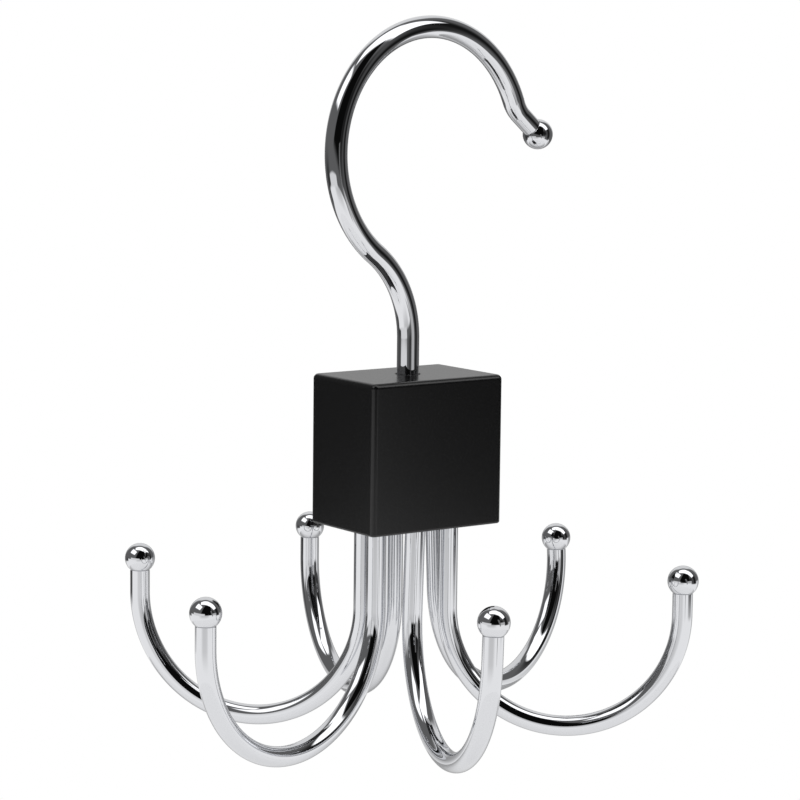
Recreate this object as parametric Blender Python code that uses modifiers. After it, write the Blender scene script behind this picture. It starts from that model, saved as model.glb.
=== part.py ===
"""A closet-rail bag hanger with six arms.

A chromed rail hook swivels in a black block, which carries six J-shaped arms of chromed wire. Each
arm and the hook end in a ball. Metres, +Z up. The origin is the underside of the hook's crown, on
the swivel axis, where the hanger rests on its rail. +X runs along the block's length.
"""

import math

import bmesh
import bpy
from mathutils import Matrix, Vector

# Clearances
FIT_GAP = 0.0003  # all round, where one round piece sits in another
RUNNING_GAP = 0.0003  # between the bush and the washer, which turn on each other
ENTRY_CLEARANCE = 0.0004  # round the rod where it enters the block

# Rail hook, along its centre line, from the block up
ROD_RADIUS = 0.0028
ROD_SHOULDER = 0.0008  # how much the rod's threaded end is turned down
NECK_LENGTH = 0.0090  # straight rod above the block
NECK_BEND_RADIUS = 0.0266
CROWN_RADIUS = 0.03085
CROWN_OFFSET = 0.00667  # from the swivel axis to the crown's centre, toward the tip
CROWN_END_ANGLE = 22.5  # degrees above level where the crown ends on the tip side
TAIL_BEND_RADIUS = 0.0088
TAIL_BEND_ANGLE = 28.6  # degrees that the tip turns back outward
TAIL_LENGTH = 0.0079  # from the tail bend to the ball's centre
HOOK_TURN = 5.4  # degrees that the hook stands turned from the block's length

# Swivel: bush, washer, nut and plug, inside the block
ENTRY_DEPTH = 0.0040
BUSH_WALL = 0.0012
BUSH_FLANGE_WIDTH = 0.0012
BUSH_FLANGE_THICKNESS = 0.0012
WASHER_LIP = 0.0005  # how far the washer stands out past the flange
WASHER_THICKNESS = 0.0010
NUT_WALL = 0.0012  # from the nut's thread to its flats
NUT_HEIGHT = 0.0032
NUT_CHAMFER_ANGLE = 30.0  # degrees from level
NUT_FACE_EDGE = 0.0002  # how far the nut's round faces stop short of its flats
THREAD_END = 0.0012  # thread past the nut
SPANNER_ROOM = 0.0006  # round the washer
END_ROOM = 0.0021  # between the thread's end and the plug
PLUG_HEAD_THICKNESS = 0.0015
PLUG_SPIGOT_LENGTH = 0.0015
PLUG_LEDGE = 0.0006  # width of the step that the plug seats on

# Arms, each hanging from its own socket
WIRE_RADIUS = 0.00255
SOCKET_SHOULDER = 0.00065  # how much the wire is turned down for its socket
SOCKET_SPIGOT_LENGTH = 0.0180
SOCKET_ANGLES = (-49, 11, 71, 131, 191, 246)  # degrees round the block, as drilled
ARM_TURNS = (6.1, 9.3, 6.2, -3.0, 3.8, 5.6)  # degrees that each arm points past its socket
ARM_LEANS = (0.0, -2.5, 0.0, 0.0, 0.0, -1.3)  # degrees that each arm hangs out of upright
ARM_DROPS = (0.0210, 0.0179, 0.0210, 0.0223, 0.0210, 0.0206)  # from the block to each bend
ARM_BEND_RADII = (0.0297, 0.0299, 0.0293, 0.0304, 0.0313, 0.0304)  # bent by hand, so unlike
ARM_RISES = (0.0086, 0.0042, 0.0086, 0.0088, 0.0087, 0.0094)  # from each bend to the ball's centre

# Balls, alike on the hook and the arms
BALL_RADIUS = 0.0039
BALL_SHOULDER = 0.00105  # how much the wire is turned down for its ball
BALL_SPIGOT_LENGTH = 0.0040

# Block
BLOCK_HEIGHT = 0.0380
SOCKET_WEB = 0.0015  # metal between the plug and the sockets
SIDE_WALL = 0.0011  # metal outside the sockets on the long sides
END_WALL = 0.0071  # metal outside the sockets at the ends
EDGE_RADIUS = 0.0013
FOOT_EDGE_RADIUS = 0.0006  # round the underside

# Facets
ARC_STEP = 7.5  # degrees of bend for each ring of a rod or wire
ROD_SIDES = 16
WIRE_SIDES = 12
TURNED_STEPS = 32
BALL_STEPS = 16
BALL_ARC_STEP = 12.0  # degrees between a ball's rings
OVERCUT = 0.0020  # how far cutters and joined cylinders run past a face

# Swivel radii, from the rod outward
THREAD_RADIUS = ROD_RADIUS - ROD_SHOULDER
ENTRY_RADIUS = ROD_RADIUS + ENTRY_CLEARANCE
BUSH_BORE_RADIUS = ROD_RADIUS + FIT_GAP
BUSH_RADIUS = BUSH_BORE_RADIUS + BUSH_WALL
BUSH_HOLE_RADIUS = BUSH_RADIUS + FIT_GAP
FLANGE_RADIUS = BUSH_RADIUS + BUSH_FLANGE_WIDTH
THREAD_HOLE_RADIUS = THREAD_RADIUS + FIT_GAP
WASHER_RADIUS = FLANGE_RADIUS + WASHER_LIP
NUT_HALF_FLATS = THREAD_HOLE_RADIUS + NUT_WALL
NUT_CORNER_RADIUS = NUT_HALF_FLATS / math.cos(math.radians(30))
COUNTERBORE_RADIUS = WASHER_RADIUS + SPANNER_ROOM
PLUG_POCKET_RADIUS = COUNTERBORE_RADIUS + PLUG_LEDGE

# Socket ring and block, from the plug outward
SOCKET_SPIGOT_RADIUS = WIRE_RADIUS - SOCKET_SHOULDER
SOCKET_RADIUS = SOCKET_SPIGOT_RADIUS + FIT_GAP
SOCKET_RING_RADIUS = PLUG_POCKET_RADIUS + SOCKET_WEB + SOCKET_RADIUS
SOCKET_PLACES = [
    (
        SOCKET_RING_RADIUS * math.cos(math.radians(angle)),
        SOCKET_RING_RADIUS * math.sin(math.radians(angle)),
    )
    for angle in SOCKET_ANGLES
]
BLOCK_LENGTH = 2 * (max(abs(x) for x, _ in SOCKET_PLACES) + SOCKET_RADIUS + END_WALL)
BLOCK_DEPTH = 2 * (max(abs(y) for _, y in SOCKET_PLACES) + SOCKET_RADIUS + SIDE_WALL)

# Heights of the hook: the crown's underside meets the origin, and the neck bend is tangent to it
CROWN_CENTRE = (
    CROWN_OFFSET,
    -math.sqrt((CROWN_RADIUS - ROD_RADIUS) ** 2 - CROWN_OFFSET**2),
)
NECK_CENTRE = (
    -NECK_BEND_RADIUS,
    CROWN_CENTRE[1]
    - math.sqrt(
        (NECK_BEND_RADIUS + CROWN_RADIUS) ** 2 - (NECK_BEND_RADIUS + CROWN_OFFSET) ** 2
    ),
)

# Heights of the block and of what is stacked in it, from the top down
BLOCK_TOP = NECK_CENTRE[1] - NECK_LENGTH
BLOCK_BOTTOM = BLOCK_TOP - BLOCK_HEIGHT
ENTRY_BOTTOM = BLOCK_TOP - ENTRY_DEPTH
PLUG_LEDGE_Z = BLOCK_BOTTOM + PLUG_HEAD_THICKNESS
PLUG_TOP = PLUG_LEDGE_Z + PLUG_SPIGOT_LENGTH
THREAD_TIP = PLUG_TOP + END_ROOM
NUT_BOTTOM = THREAD_TIP + THREAD_END
NUT_TOP = NUT_BOTTOM + NUT_HEIGHT
WASHER_TOP = NUT_TOP + WASHER_THICKNESS
FLANGE_BOTTOM = WASHER_TOP + RUNNING_GAP
COUNTERBORE_TOP = FLANGE_BOTTOM + BUSH_FLANGE_THICKNESS
BUSH_TOP = ENTRY_BOTTOM - FIT_GAP

# Balls: the wire's shoulder meets a flat land of its own radius
BALL_SPIGOT_RADIUS = WIRE_RADIUS - BALL_SHOULDER
BALL_BORE_RADIUS = BALL_SPIGOT_RADIUS + FIT_GAP
BALL_LAND = math.sqrt(BALL_RADIUS**2 - WIRE_RADIUS**2)  # below the ball's centre


def clear_scene():
    """Empty the scene, so that it holds only the hanger."""
    for obj in list(bpy.data.objects):
        bpy.data.objects.remove(obj, do_unlink=True)


def new_collection(name):
    """A collection linked to the scene."""
    collection = bpy.data.collections.new(name)
    bpy.context.scene.collection.children.link(collection)
    return collection


def new_material(name, colour, roughness, metallic=0.0):
    """A Principled material of one linear colour."""
    material = bpy.data.materials.new(name)
    material.use_nodes = True
    shader = material.node_tree.nodes["Principled BSDF"]
    shader.inputs["Base Color"].default_value = (*colour, 1.0)
    shader.inputs["Roughness"].default_value = roughness
    shader.inputs["Metallic"].default_value = metallic
    return material


def new_empty(name, collection, parent=None):
    """An axes empty on the swivel axis, which carries the pieces of one body."""
    empty = bpy.data.objects.new(name, None)
    empty.empty_display_size = 0.02
    empty.parent = parent
    collection.objects.link(empty)
    return empty


def place(obj, collection, material, parent):
    """Put a finished piece in its collection, material and body."""
    collection.objects.link(obj)
    obj.parent = parent
    obj.data.materials.clear()
    obj.data.materials.append(material)
    return obj


def smooth(mesh):
    """Shade a round mesh smooth, with its real corners kept sharp."""
    mesh.shade_smooth()
    mesh.set_sharp_from_angle(angle=math.radians(40))


def mesh_from(name, bm):
    """Turn a bmesh into a mesh and free it."""
    mesh = bpy.data.meshes.new(name)
    bm.to_mesh(mesh)
    bm.free()
    return mesh


def turned(name, profile, steps=TURNED_STEPS, closed=False):
    """A turned piece: a profile of (radius, z) points spun round Z by a Screw modifier.

    The profile runs down its outer side. A closed one is a ring; an open one starts and ends on
    the axis.
    """
    bm = bmesh.new()
    verts = [bm.verts.new((radius, 0.0, z)) for radius, z in profile]
    for first, second in zip(verts, verts[1:]):
        bm.edges.new((first, second))
    if closed:
        bm.edges.new((verts[-1], verts[0]))
    obj = bpy.data.objects.new(name, mesh_from(name, bm))
    screw = obj.modifiers.new("turn", "SCREW")
    screw.steps = steps
    screw.render_steps = steps
    screw.use_merge_vertices = True
    screw.merge_threshold = 0.00001
    return obj


def cylinder(name, radius, bottom, top, steps=TURNED_STEPS, centre=(0.0, 0.0)):
    """An upright cylinder between two heights."""
    bm = bmesh.new()
    bmesh.ops.create_cone(
        bm, cap_ends=True, segments=steps, radius1=radius, radius2=radius, depth=top - bottom
    )
    bmesh.ops.translate(bm, verts=bm.verts, vec=(*centre, (bottom + top) / 2))
    return bpy.data.objects.new(name, mesh_from(name, bm))


def arc(centre, radius, start, end, most=ARC_STEP):
    """Points (x, z) along an arc, from one angle to another in degrees, both ends included."""
    count = max(2, math.ceil(abs(end - start) / most))
    angles = [math.radians(start + (end - start) * step / count) for step in range(count + 1)]
    return [
        (centre[0] + radius * math.cos(angle), centre[1] + radius * math.sin(angle))
        for angle in angles
    ]


def bent_rod(name, path, radii, sides):
    """A round rod along (x, z) points, made from a bevelled curve and welded at its caps."""
    curve = bpy.data.curves.new(name, "CURVE")
    curve.dimensions = "3D"
    curve.bevel_depth = radii[0]
    curve.bevel_resolution = (sides - 4) // 2
    curve.use_fill_caps = True
    spline = curve.splines.new("POLY")
    spline.points.add(len(path) - 1)
    for point, (x, z), radius in zip(spline.points, path, radii):
        point.co = (x, 0.0, z, 1.0)
        point.radius = radius / radii[0]
    guide = bpy.data.objects.new(name + "_path", curve)
    bpy.context.scene.collection.objects.link(guide)
    graph = bpy.context.evaluated_depsgraph_get()
    mesh = bpy.data.meshes.new_from_object(guide.evaluated_get(graph))
    bm = bmesh.new()
    bm.from_mesh(mesh)
    bmesh.ops.remove_doubles(bm, verts=bm.verts, dist=0.000001)
    bm.to_mesh(mesh)
    bm.free()
    rod = bpy.data.objects.new(name, mesh)
    rod.matrix_world = guide.matrix_world
    bpy.data.objects.remove(guide, do_unlink=True)
    return rod


def add_boolean(obj, other, operation):
    """Cut or join another mesh by a Boolean modifier."""
    modifier = obj.modifiers.new(other.name, "BOOLEAN")
    modifier.operation = operation
    modifier.solver = "EXACT"
    modifier.object = other


def as_cutter(obj, cutters):
    """Keep a cutter in its own collection, drawn as wire and left out of the model."""
    cutters.objects.link(obj)
    obj.hide_render = True
    obj.display_type = "WIRE"
    return obj


def joined_mesh(name, base, others):
    """The mesh of several overlapping solids joined into one; the solids are removed."""
    for obj in (base, *others):
        bpy.context.scene.collection.objects.link(obj)
    for other in others:
        add_boolean(base, other, "UNION")
    graph = bpy.context.evaluated_depsgraph_get()
    mesh = bpy.data.meshes.new_from_object(base.evaluated_get(graph))
    mesh.name = name
    for obj in (base, *others):
        bpy.data.objects.remove(obj, do_unlink=True)
    smooth(mesh)
    return mesh


def along(obj, start, heading):
    """Move a solid built up +Z so that it starts at (x, z) and points along a heading in degrees."""
    obj.location = (start[0], 0.0, start[1])
    obj.rotation_euler = (0.0, math.radians(90 - heading), 0.0)
    return obj


def ball_mesh():
    """A ball turned round Z, with a flat land and a blind bore on its lower side."""
    land_angle = math.degrees(math.asin(BALL_LAND / BALL_RADIUS))
    outside = arc((0.0, 0.0), BALL_RADIUS, 90, -land_angle, BALL_ARC_STEP)
    bore_end = BALL_SPIGOT_LENGTH + FIT_GAP - BALL_LAND
    bore = [(BALL_BORE_RADIUS, -BALL_LAND), (BALL_BORE_RADIUS, bore_end), (0.0, bore_end)]
    spun = turned("ball", [(0.0, BALL_RADIUS), *outside[1:], *bore], BALL_STEPS)
    return joined_mesh("ball", spun, [])


def ball_spigot(name):
    """The turned-down end that goes into a ball, from inside the wire upward."""
    return cylinder(name, BALL_SPIGOT_RADIUS, -OVERCUT, BALL_SPIGOT_LENGTH, WIRE_SIDES)


def hook_path():
    """The hook's centre line and radii, and where its ball sits and points.

    The rod rises from the shoulder on the washer, swings back in the neck bend, goes over the
    rail in the crown, and turns outward in the tail.
    """
    rise = CROWN_CENTRE[1] - NECK_CENTRE[1]
    meet = math.degrees(math.atan2(rise, CROWN_CENTRE[0] - NECK_CENTRE[0]))
    neck = arc(NECK_CENTRE, NECK_BEND_RADIUS, 0, meet)
    crown = arc(CROWN_CENTRE, CROWN_RADIUS, 180 + meet, CROWN_END_ANGLE)
    reach = CROWN_RADIUS + TAIL_BEND_RADIUS
    tail_centre = (
        CROWN_CENTRE[0] + reach * math.cos(math.radians(CROWN_END_ANGLE)),
        CROWN_CENTRE[1] + reach * math.sin(math.radians(CROWN_END_ANGLE)),
    )
    tail_start = 180 + CROWN_END_ANGLE
    tail = arc(tail_centre, TAIL_BEND_RADIUS, tail_start, tail_start + TAIL_BEND_ANGLE)
    heading = CROWN_END_ANGLE - 90 + TAIL_BEND_ANGLE
    step = (math.cos(math.radians(heading)), math.sin(math.radians(heading)))
    ball = (tail[-1][0] + TAIL_LENGTH * step[0], tail[-1][1] + TAIL_LENGTH * step[1])
    seat = (ball[0] - BALL_LAND * step[0], ball[1] - BALL_LAND * step[1])
    plain = [(0.0, WASHER_TOP), *neck, *crown[1:]]
    tapered = [*tail[1:], seat]
    taper = (WIRE_RADIUS - ROD_RADIUS) / len(tapered)
    radii = [ROD_RADIUS] * len(plain)
    radii += [ROD_RADIUS + taper * (index + 1) for index in range(len(tapered))]
    return plain + tapered, radii, ball, seat, heading


def build_hook(collection, chrome, parent):
    """The rail hook and its ball. The hook's plane is local XZ."""
    path, radii, ball, seat, heading = hook_path()
    rod = bent_rod("hook_rod", path, radii, ROD_SIDES)
    thread = cylinder("hook_thread", THREAD_RADIUS, THREAD_TIP, WASHER_TOP + OVERCUT, ROD_SIDES)
    spigot = along(ball_spigot("hook_spigot"), seat, heading)
    mesh = joined_mesh("top_hook", rod, [thread, spigot])
    hook = place(bpy.data.objects.new("top_hook", mesh), collection, chrome, parent)
    hook.rotation_euler.z = math.radians(HOOK_TURN)
    tip = bpy.data.objects.new("hook_ball", ball_mesh())
    place(tip, collection, chrome, hook)
    return along(tip, ball, heading)


def build_washer_and_nut(collection, steel, parent):
    """The washer under the rod's shoulder and the nut under the washer."""
    washer = turned(
        "nut_washer",
        [
            (WASHER_RADIUS, WASHER_TOP),
            (WASHER_RADIUS, NUT_TOP),
            (THREAD_HOLE_RADIUS, NUT_TOP),
            (THREAD_HOLE_RADIUS, WASHER_TOP),
        ],
        closed=True,
    )
    place(washer, collection, steel, parent)
    nut = cylinder("swivel_nut", NUT_CORNER_RADIUS, NUT_BOTTOM, NUT_TOP, 6)
    return place(nut, collection, steel, parent)


def finish_nut(nut, cutters):
    """Chamfer the nut's corners and bore it."""
    slope = math.tan(math.radians(NUT_CHAMFER_ANGLE))
    face_radius = NUT_HALF_FLATS - NUT_FACE_EDGE
    rim = NUT_CORNER_RADIUS + NUT_FACE_EDGE
    fall = (rim - face_radius) * slope
    past = face_radius / 2 * slope
    chamfer = turned(
        "nut_chamfer",
        [
            (0.0, NUT_TOP + past),
            (face_radius / 2, NUT_TOP + past),
            (rim, NUT_TOP - fall),
            (rim, NUT_BOTTOM + fall),
            (face_radius / 2, NUT_BOTTOM - past),
            (0.0, NUT_BOTTOM - past),
        ],
    )
    bore = cylinder("nut_bore", THREAD_HOLE_RADIUS, NUT_BOTTOM - OVERCUT, NUT_TOP + OVERCUT)
    add_boolean(nut, as_cutter(chamfer, cutters), "INTERSECT")
    add_boolean(nut, as_cutter(bore, cutters), "DIFFERENCE")


def build_bush(collection, nylon, parent):
    """The flanged bush that the rod turns in. Its flange seats on the counterbore's ceiling."""
    bush = turned(
        "swivel_bush",
        [
            (BUSH_RADIUS, BUSH_TOP),
            (BUSH_RADIUS, COUNTERBORE_TOP),
            (FLANGE_RADIUS, COUNTERBORE_TOP),
            (FLANGE_RADIUS, FLANGE_BOTTOM),
            (BUSH_BORE_RADIUS, FLANGE_BOTTOM),
            (BUSH_BORE_RADIUS, BUSH_TOP),
        ],
        closed=True,
    )
    return place(bush, collection, nylon, parent)


def build_plug(collection, plastic, parent):
    """The plug that closes the counterbore, flush with the block's underside."""
    head_radius = PLUG_POCKET_RADIUS - FIT_GAP
    spigot_radius = COUNTERBORE_RADIUS - FIT_GAP
    plug = turned(
        "bottom_plug",
        [
            (0.0, PLUG_TOP),
            (spigot_radius, PLUG_TOP),
            (spigot_radius, PLUG_LEDGE_Z),
            (head_radius, PLUG_LEDGE_Z),
            (head_radius, BLOCK_BOTTOM),
            (0.0, BLOCK_BOTTOM),
        ],
    )
    return place(plug, collection, plastic, parent)


def block_bore():
    """The block's stepped bore: entry hole, bush hole, counterbore and plug pocket."""
    return turned(
        "block_bore",
        [
            (0.0, BLOCK_TOP + OVERCUT),
            (ENTRY_RADIUS, BLOCK_TOP + OVERCUT),
            (ENTRY_RADIUS, ENTRY_BOTTOM),
            (BUSH_HOLE_RADIUS, ENTRY_BOTTOM),
            (BUSH_HOLE_RADIUS, COUNTERBORE_TOP),
            (COUNTERBORE_RADIUS, COUNTERBORE_TOP),
            (COUNTERBORE_RADIUS, PLUG_LEDGE_Z),
            (PLUG_POCKET_RADIUS, PLUG_LEDGE_Z),
            (PLUG_POCKET_RADIUS, BLOCK_BOTTOM - OVERCUT),
            (0.0, BLOCK_BOTTOM - OVERCUT),
        ],
    )


def build_block(collection, cutters, paint, parent):
    """The block, with rounded edges, its stepped bore and a blind socket for each arm."""
    bm = bmesh.new()
    bmesh.ops.create_cube(bm, size=1.0)
    bmesh.ops.scale(bm, verts=bm.verts, vec=(BLOCK_LENGTH, BLOCK_DEPTH, BLOCK_HEIGHT))
    middle = (BLOCK_TOP + BLOCK_BOTTOM) / 2
    bmesh.ops.translate(bm, verts=bm.verts, vec=(0.0, 0.0, middle))
    weight = bm.edges.layers.float.new("bevel_weight_edge")
    for edge in bm.edges:
        at_foot = all(vert.co.z < middle for vert in edge.verts)
        edge[weight] = FOOT_EDGE_RADIUS / EDGE_RADIUS if at_foot else 1.0
    block = bpy.data.objects.new("block", mesh_from("block", bm))
    place(block, collection, paint, parent)
    bevel = block.modifiers.new("edges", "BEVEL")
    bevel.width = EDGE_RADIUS
    bevel.segments = 4
    bevel.limit_method = "WEIGHT"
    add_boolean(block, as_cutter(block_bore(), cutters), "DIFFERENCE")
    socket_top = BLOCK_BOTTOM + SOCKET_SPIGOT_LENGTH + FIT_GAP
    for number, centre in enumerate(SOCKET_PLACES, start=1):
        socket = cylinder(
            f"socket_{number}", SOCKET_RADIUS, BLOCK_BOTTOM - OVERCUT, socket_top, 16, centre
        )
        add_boolean(block, as_cutter(socket, cutters), "DIFFERENCE")
    return block


def arm_mesh(drop, bend_radius, rise, lean):
    """An arm, from its shoulder at the local origin down, out along +X and up to its ball.

    Only its end in the socket stays upright: the rest leans sideways, about the X axis.
    """
    bend = arc((bend_radius, -drop), bend_radius, 180, 360)
    seat = (2 * bend_radius, rise - drop - BALL_LAND)
    path = [(0.0, 0.0), *bend, seat]
    wire = bent_rod("arm_wire", path, [WIRE_RADIUS] * len(path), WIRE_SIDES)
    root = cylinder(
        "arm_root", SOCKET_SPIGOT_RADIUS, -OVERCUT, SOCKET_SPIGOT_LENGTH, WIRE_SIDES
    )
    tip = along(ball_spigot("arm_tip"), seat, 90)
    mesh = joined_mesh("arm", wire, [root, tip])
    for vert in mesh.vertices:
        if vert.co.z < -WIRE_RADIUS:
            vert.co = lean @ vert.co
    return mesh


def build_arms(collection, chrome, parent):
    """The six arms and their balls. The balls share one mesh."""
    ball_shape = ball_mesh()
    directions = zip(SOCKET_PLACES, SOCKET_ANGLES, ARM_TURNS, ARM_LEANS)
    bends = zip(ARM_DROPS, ARM_BEND_RADII, ARM_RISES)
    for number, (((x, y), angle, turn, lean), bend) in enumerate(zip(directions, bends), start=1):
        drop, bend_radius, rise = bend
        leaning = Matrix.Rotation(math.radians(lean), 3, "X")
        mesh = arm_mesh(drop, bend_radius, rise, leaning)
        arm = bpy.data.objects.new(f"arm_{number}", mesh)
        place(arm, collection, chrome, parent)
        arm.location = (x, y, BLOCK_BOTTOM)
        arm.rotation_euler.z = math.radians(angle + turn)
        ball = bpy.data.objects.new(f"arm_ball_{number}", ball_shape)
        place(ball, collection, chrome, arm)
        ball.location = leaning @ Vector((2 * bend_radius, 0.0, rise - drop))
        ball.rotation_euler.x = math.radians(lean)


def main():
    """Build the hanger: the hook's body, and the carrier that swivels under it."""
    clear_scene()
    parts = new_collection("bag_hanger")
    cutters = new_collection("cutters")
    chrome = new_material("chrome plate", (0.80, 0.81, 0.82), 0.06, 1.0)
    steel = new_material("zinc plated steel", (0.55, 0.56, 0.57), 0.30, 1.0)
    paint = new_material("satin black paint", (0.010, 0.010, 0.011), 0.32)
    nylon = new_material("natural nylon", (0.72, 0.70, 0.64), 0.45)
    plastic = new_material("black plastic", (0.012, 0.012, 0.012), 0.45)
    hook_body = new_empty("hook_body", parts)
    carrier = new_empty("carrier_swivel", parts, hook_body)
    build_hook(parts, chrome, hook_body)
    nut = build_washer_and_nut(parts, steel, hook_body)
    finish_nut(nut, cutters)
    build_bush(parts, nylon, carrier)
    build_plug(parts, plastic, carrier)
    build_block(parts, cutters, paint, carrier)
    build_arms(parts, chrome, carrier)


main()
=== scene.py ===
# %% [markdown]
# # A bag hanger for a closet rail
#
# The real thing is three kinds of part. A chromed steel hook goes over the rail and turns in a
# black painted block. Six chromed wires hang from the block, bend outward and up again, and end
# in a ball, so that a bag's handle neither slides off nor catches.
#
# Chrome has almost no colour of its own. What the eye sees is the room, bent round a tube or a
# ball, so this lesson spends as much care on the studio as on the metal.

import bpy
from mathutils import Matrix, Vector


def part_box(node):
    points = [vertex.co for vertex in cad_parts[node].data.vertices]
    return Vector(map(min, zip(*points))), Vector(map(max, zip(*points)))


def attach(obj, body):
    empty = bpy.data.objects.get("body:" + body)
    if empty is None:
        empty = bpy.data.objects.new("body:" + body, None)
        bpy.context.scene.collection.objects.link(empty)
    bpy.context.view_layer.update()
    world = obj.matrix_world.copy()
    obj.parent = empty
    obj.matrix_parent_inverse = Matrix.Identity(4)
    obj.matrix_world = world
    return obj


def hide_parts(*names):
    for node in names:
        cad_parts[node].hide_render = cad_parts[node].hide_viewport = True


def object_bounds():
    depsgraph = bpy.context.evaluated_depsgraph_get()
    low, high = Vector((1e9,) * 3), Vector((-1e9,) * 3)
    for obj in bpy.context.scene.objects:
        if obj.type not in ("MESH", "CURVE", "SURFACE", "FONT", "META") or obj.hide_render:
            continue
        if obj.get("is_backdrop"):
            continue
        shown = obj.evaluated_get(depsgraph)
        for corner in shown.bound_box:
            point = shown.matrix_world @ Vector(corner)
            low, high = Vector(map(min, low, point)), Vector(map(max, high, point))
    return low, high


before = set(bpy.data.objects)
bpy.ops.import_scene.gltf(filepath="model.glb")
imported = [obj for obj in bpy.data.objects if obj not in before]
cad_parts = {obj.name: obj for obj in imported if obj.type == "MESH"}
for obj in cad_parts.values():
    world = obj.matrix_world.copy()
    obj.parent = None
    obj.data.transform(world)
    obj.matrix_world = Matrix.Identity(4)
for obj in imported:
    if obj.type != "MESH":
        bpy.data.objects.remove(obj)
cad_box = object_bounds()
print("CAD box in mm:", [[round(1000 * value, 1) for value in corner] for corner in cad_box])

# %% [markdown]
# ## Lengths, angles and colours
#
# Blender counts in metres and radians, and its shaders in linear light. A maker thinks in
# millimetres and degrees and picks a colour by its sRGB code, so the values below are written
# that way and converted here.

# %% Blender's modules and two small converters
import math

import bmesh
import bpy
from mathutils import Matrix, Vector

MM = 0.001


def turn(degrees):
    """An angle in radians."""
    return math.radians(degrees)


def colour(code):
    """An sRGB hex colour as linear red, green, blue and alpha."""
    parts = [int(code[index : index + 2], 16) / 255 for index in (1, 3, 5)]
    linear = [part / 12.92 if part <= 0.04045 else ((part + 0.055) / 1.055) ** 2.4 for part in parts]
    return (*linear, 1.0)


print("mid grey in linear light:", round(colour("#808080")[0], 3))

# %% [markdown]
# ## The camera
#
# The photograph was taken with a long lens from a little above: the block's top face shows as a
# thin sliver, and the six balls sit on a flat ellipse. A long lens also keeps the near and far
# arms nearly the same size. The camera is aimed at a point on the swivel axis inside the block,
# and turned so that the block's long side runs away to the right.

# %% Camera
VIEW_TURN = -36.0  # degrees round the upright axis, seen from above
VIEW_PITCH = 7.6  # degrees that the camera looks down
VIEW_ROLL = 0.65  # degrees that the picture leans
VIEW_DISTANCE = 0.7575  # metres from the lens to the point that it is aimed at
VIEW_TARGET = Vector((-0.0005, 0.0025, -0.0900))
LENS = 135.0  # mm, with a sensor as wide as a full film frame
SENSOR_WIDTH = 36.0
NEAREST = 0.01  # metres, the camera sees from here
FARTHEST = 50.0  # to here

camera_data = bpy.data.cameras.new("camera")
camera_data.lens = LENS
camera_data.sensor_width = SENSOR_WIDTH
camera_data.clip_start = NEAREST
camera_data.clip_end = FARTHEST
camera = bpy.data.objects.new("camera", camera_data)
aim = (
    Matrix.Rotation(turn(VIEW_TURN), 4, "Z")
    @ Matrix.Rotation(turn(90 - VIEW_PITCH), 4, "X")
    @ Matrix.Rotation(turn(VIEW_ROLL), 4, "Z")
)
camera.matrix_world = Matrix.Translation(VIEW_TARGET) @ aim @ Matrix.Translation((0, 0, VIEW_DISTANCE))
bpy.context.scene.collection.objects.link(camera)
bpy.context.scene.camera = camera
print("camera stands at", [round(value, 3) for value in camera.matrix_world.translation])

# %% [markdown]
# ## One helper for every node tree
#
# A material is a small graph. Each step in it is one node with a few settings and inputs, so one
# function that adds a node and wires it is all that the finishes below need.

# %% Node helper


def add(tree, kind, inputs=None, **settings):
    """Add a node. An input is a value, or another node's output socket to link from."""
    made = tree.nodes.new(kind)
    for name, value in settings.items():
        setattr(made, name, value)
    for name, value in (inputs or {}).items():
        if isinstance(value, bpy.types.NodeSocket):
            tree.links.new(value, made.inputs[name])
        else:
            made.inputs[name].default_value = value
    return made


def new_material(name):
    """An empty material with its output and a Principled shader, ready for pattern nodes."""
    material = bpy.data.materials.new(name)
    material.use_nodes = True
    shader = material.node_tree.nodes["Principled BSDF"]
    place = add(material.node_tree, "ShaderNodeTexCoord")
    return material, material.node_tree, shader, place.outputs["Object"]


print("node helper ready")

# %% [markdown]
# ## The studio
#
# The balls in the photograph work as mirror balls and show the whole studio. Far from the hanger
# stand a white sheet behind it, a black cloth in front with the camera in its middle, dim walls
# with darker gaps, and softboxes above. They are so far off that only a reflection's direction
# matters, so they are painted on the world. Each one is a flat panel with a direction, a middle
# and a size.

# %% Panels of the far room
# Degrees round from the camera to the right, degrees up, roll; then the panel's middle and half
# size as slopes, that is size over distance; then how bright it is and how soft its edge.
FAR_PANELS = (
    ("white sheet behind", 180, 0, 0, (0.0, 0.95), (0.70, 0.85), 0.84, 0.25),
    ("dark gap left", -95, 20, 8, (0.0, -1.09), (0.41, 0.60), 0.045, 0.22),
    ("dark gap right", 52, 8, -20, (0.0, 0.0), (0.30, 0.30), 0.015, 0.20),
    ("dim curtain right", 90, 17, 0, (0.0, 0.0), (0.24, 0.90), 0.01, 0.20),
    ("overhead softbox", 0, 90, 0, (0.0, 0.0), (0.25, 0.25), 1.7, 0.06),
    ("softbox left", -68, 45, 0, (0.0, 0.0), (0.40, 0.24), 1.6, 0.05),
    ("softbox right", 72, 68, -11, (0.03, 0.10), (0.27, 0.97), 1.7, 0.05),
    ("black cloth", 5, 0, 15, (0.0, 1.12), (0.70, 1.20), 0.004, 0.10),
)
WALL_LEVEL = 0.14  # how bright the dim walls are, where 1 is white


def panel_axes(azimuth, elevation, roll):
    """The direction of a panel's middle, and its sideways and upward directions."""
    spin = (
        Matrix.Rotation(turn(VIEW_TURN + azimuth), 3, "Z")
        @ Matrix.Rotation(turn(elevation), 3, "X").inverted()
        @ Matrix.Rotation(turn(roll), 3, "Y")
    )
    return spin @ Vector((0, -1, 0)), spin @ Vector((1, 0, 0)), spin @ Vector((0, 0, 1))


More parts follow.
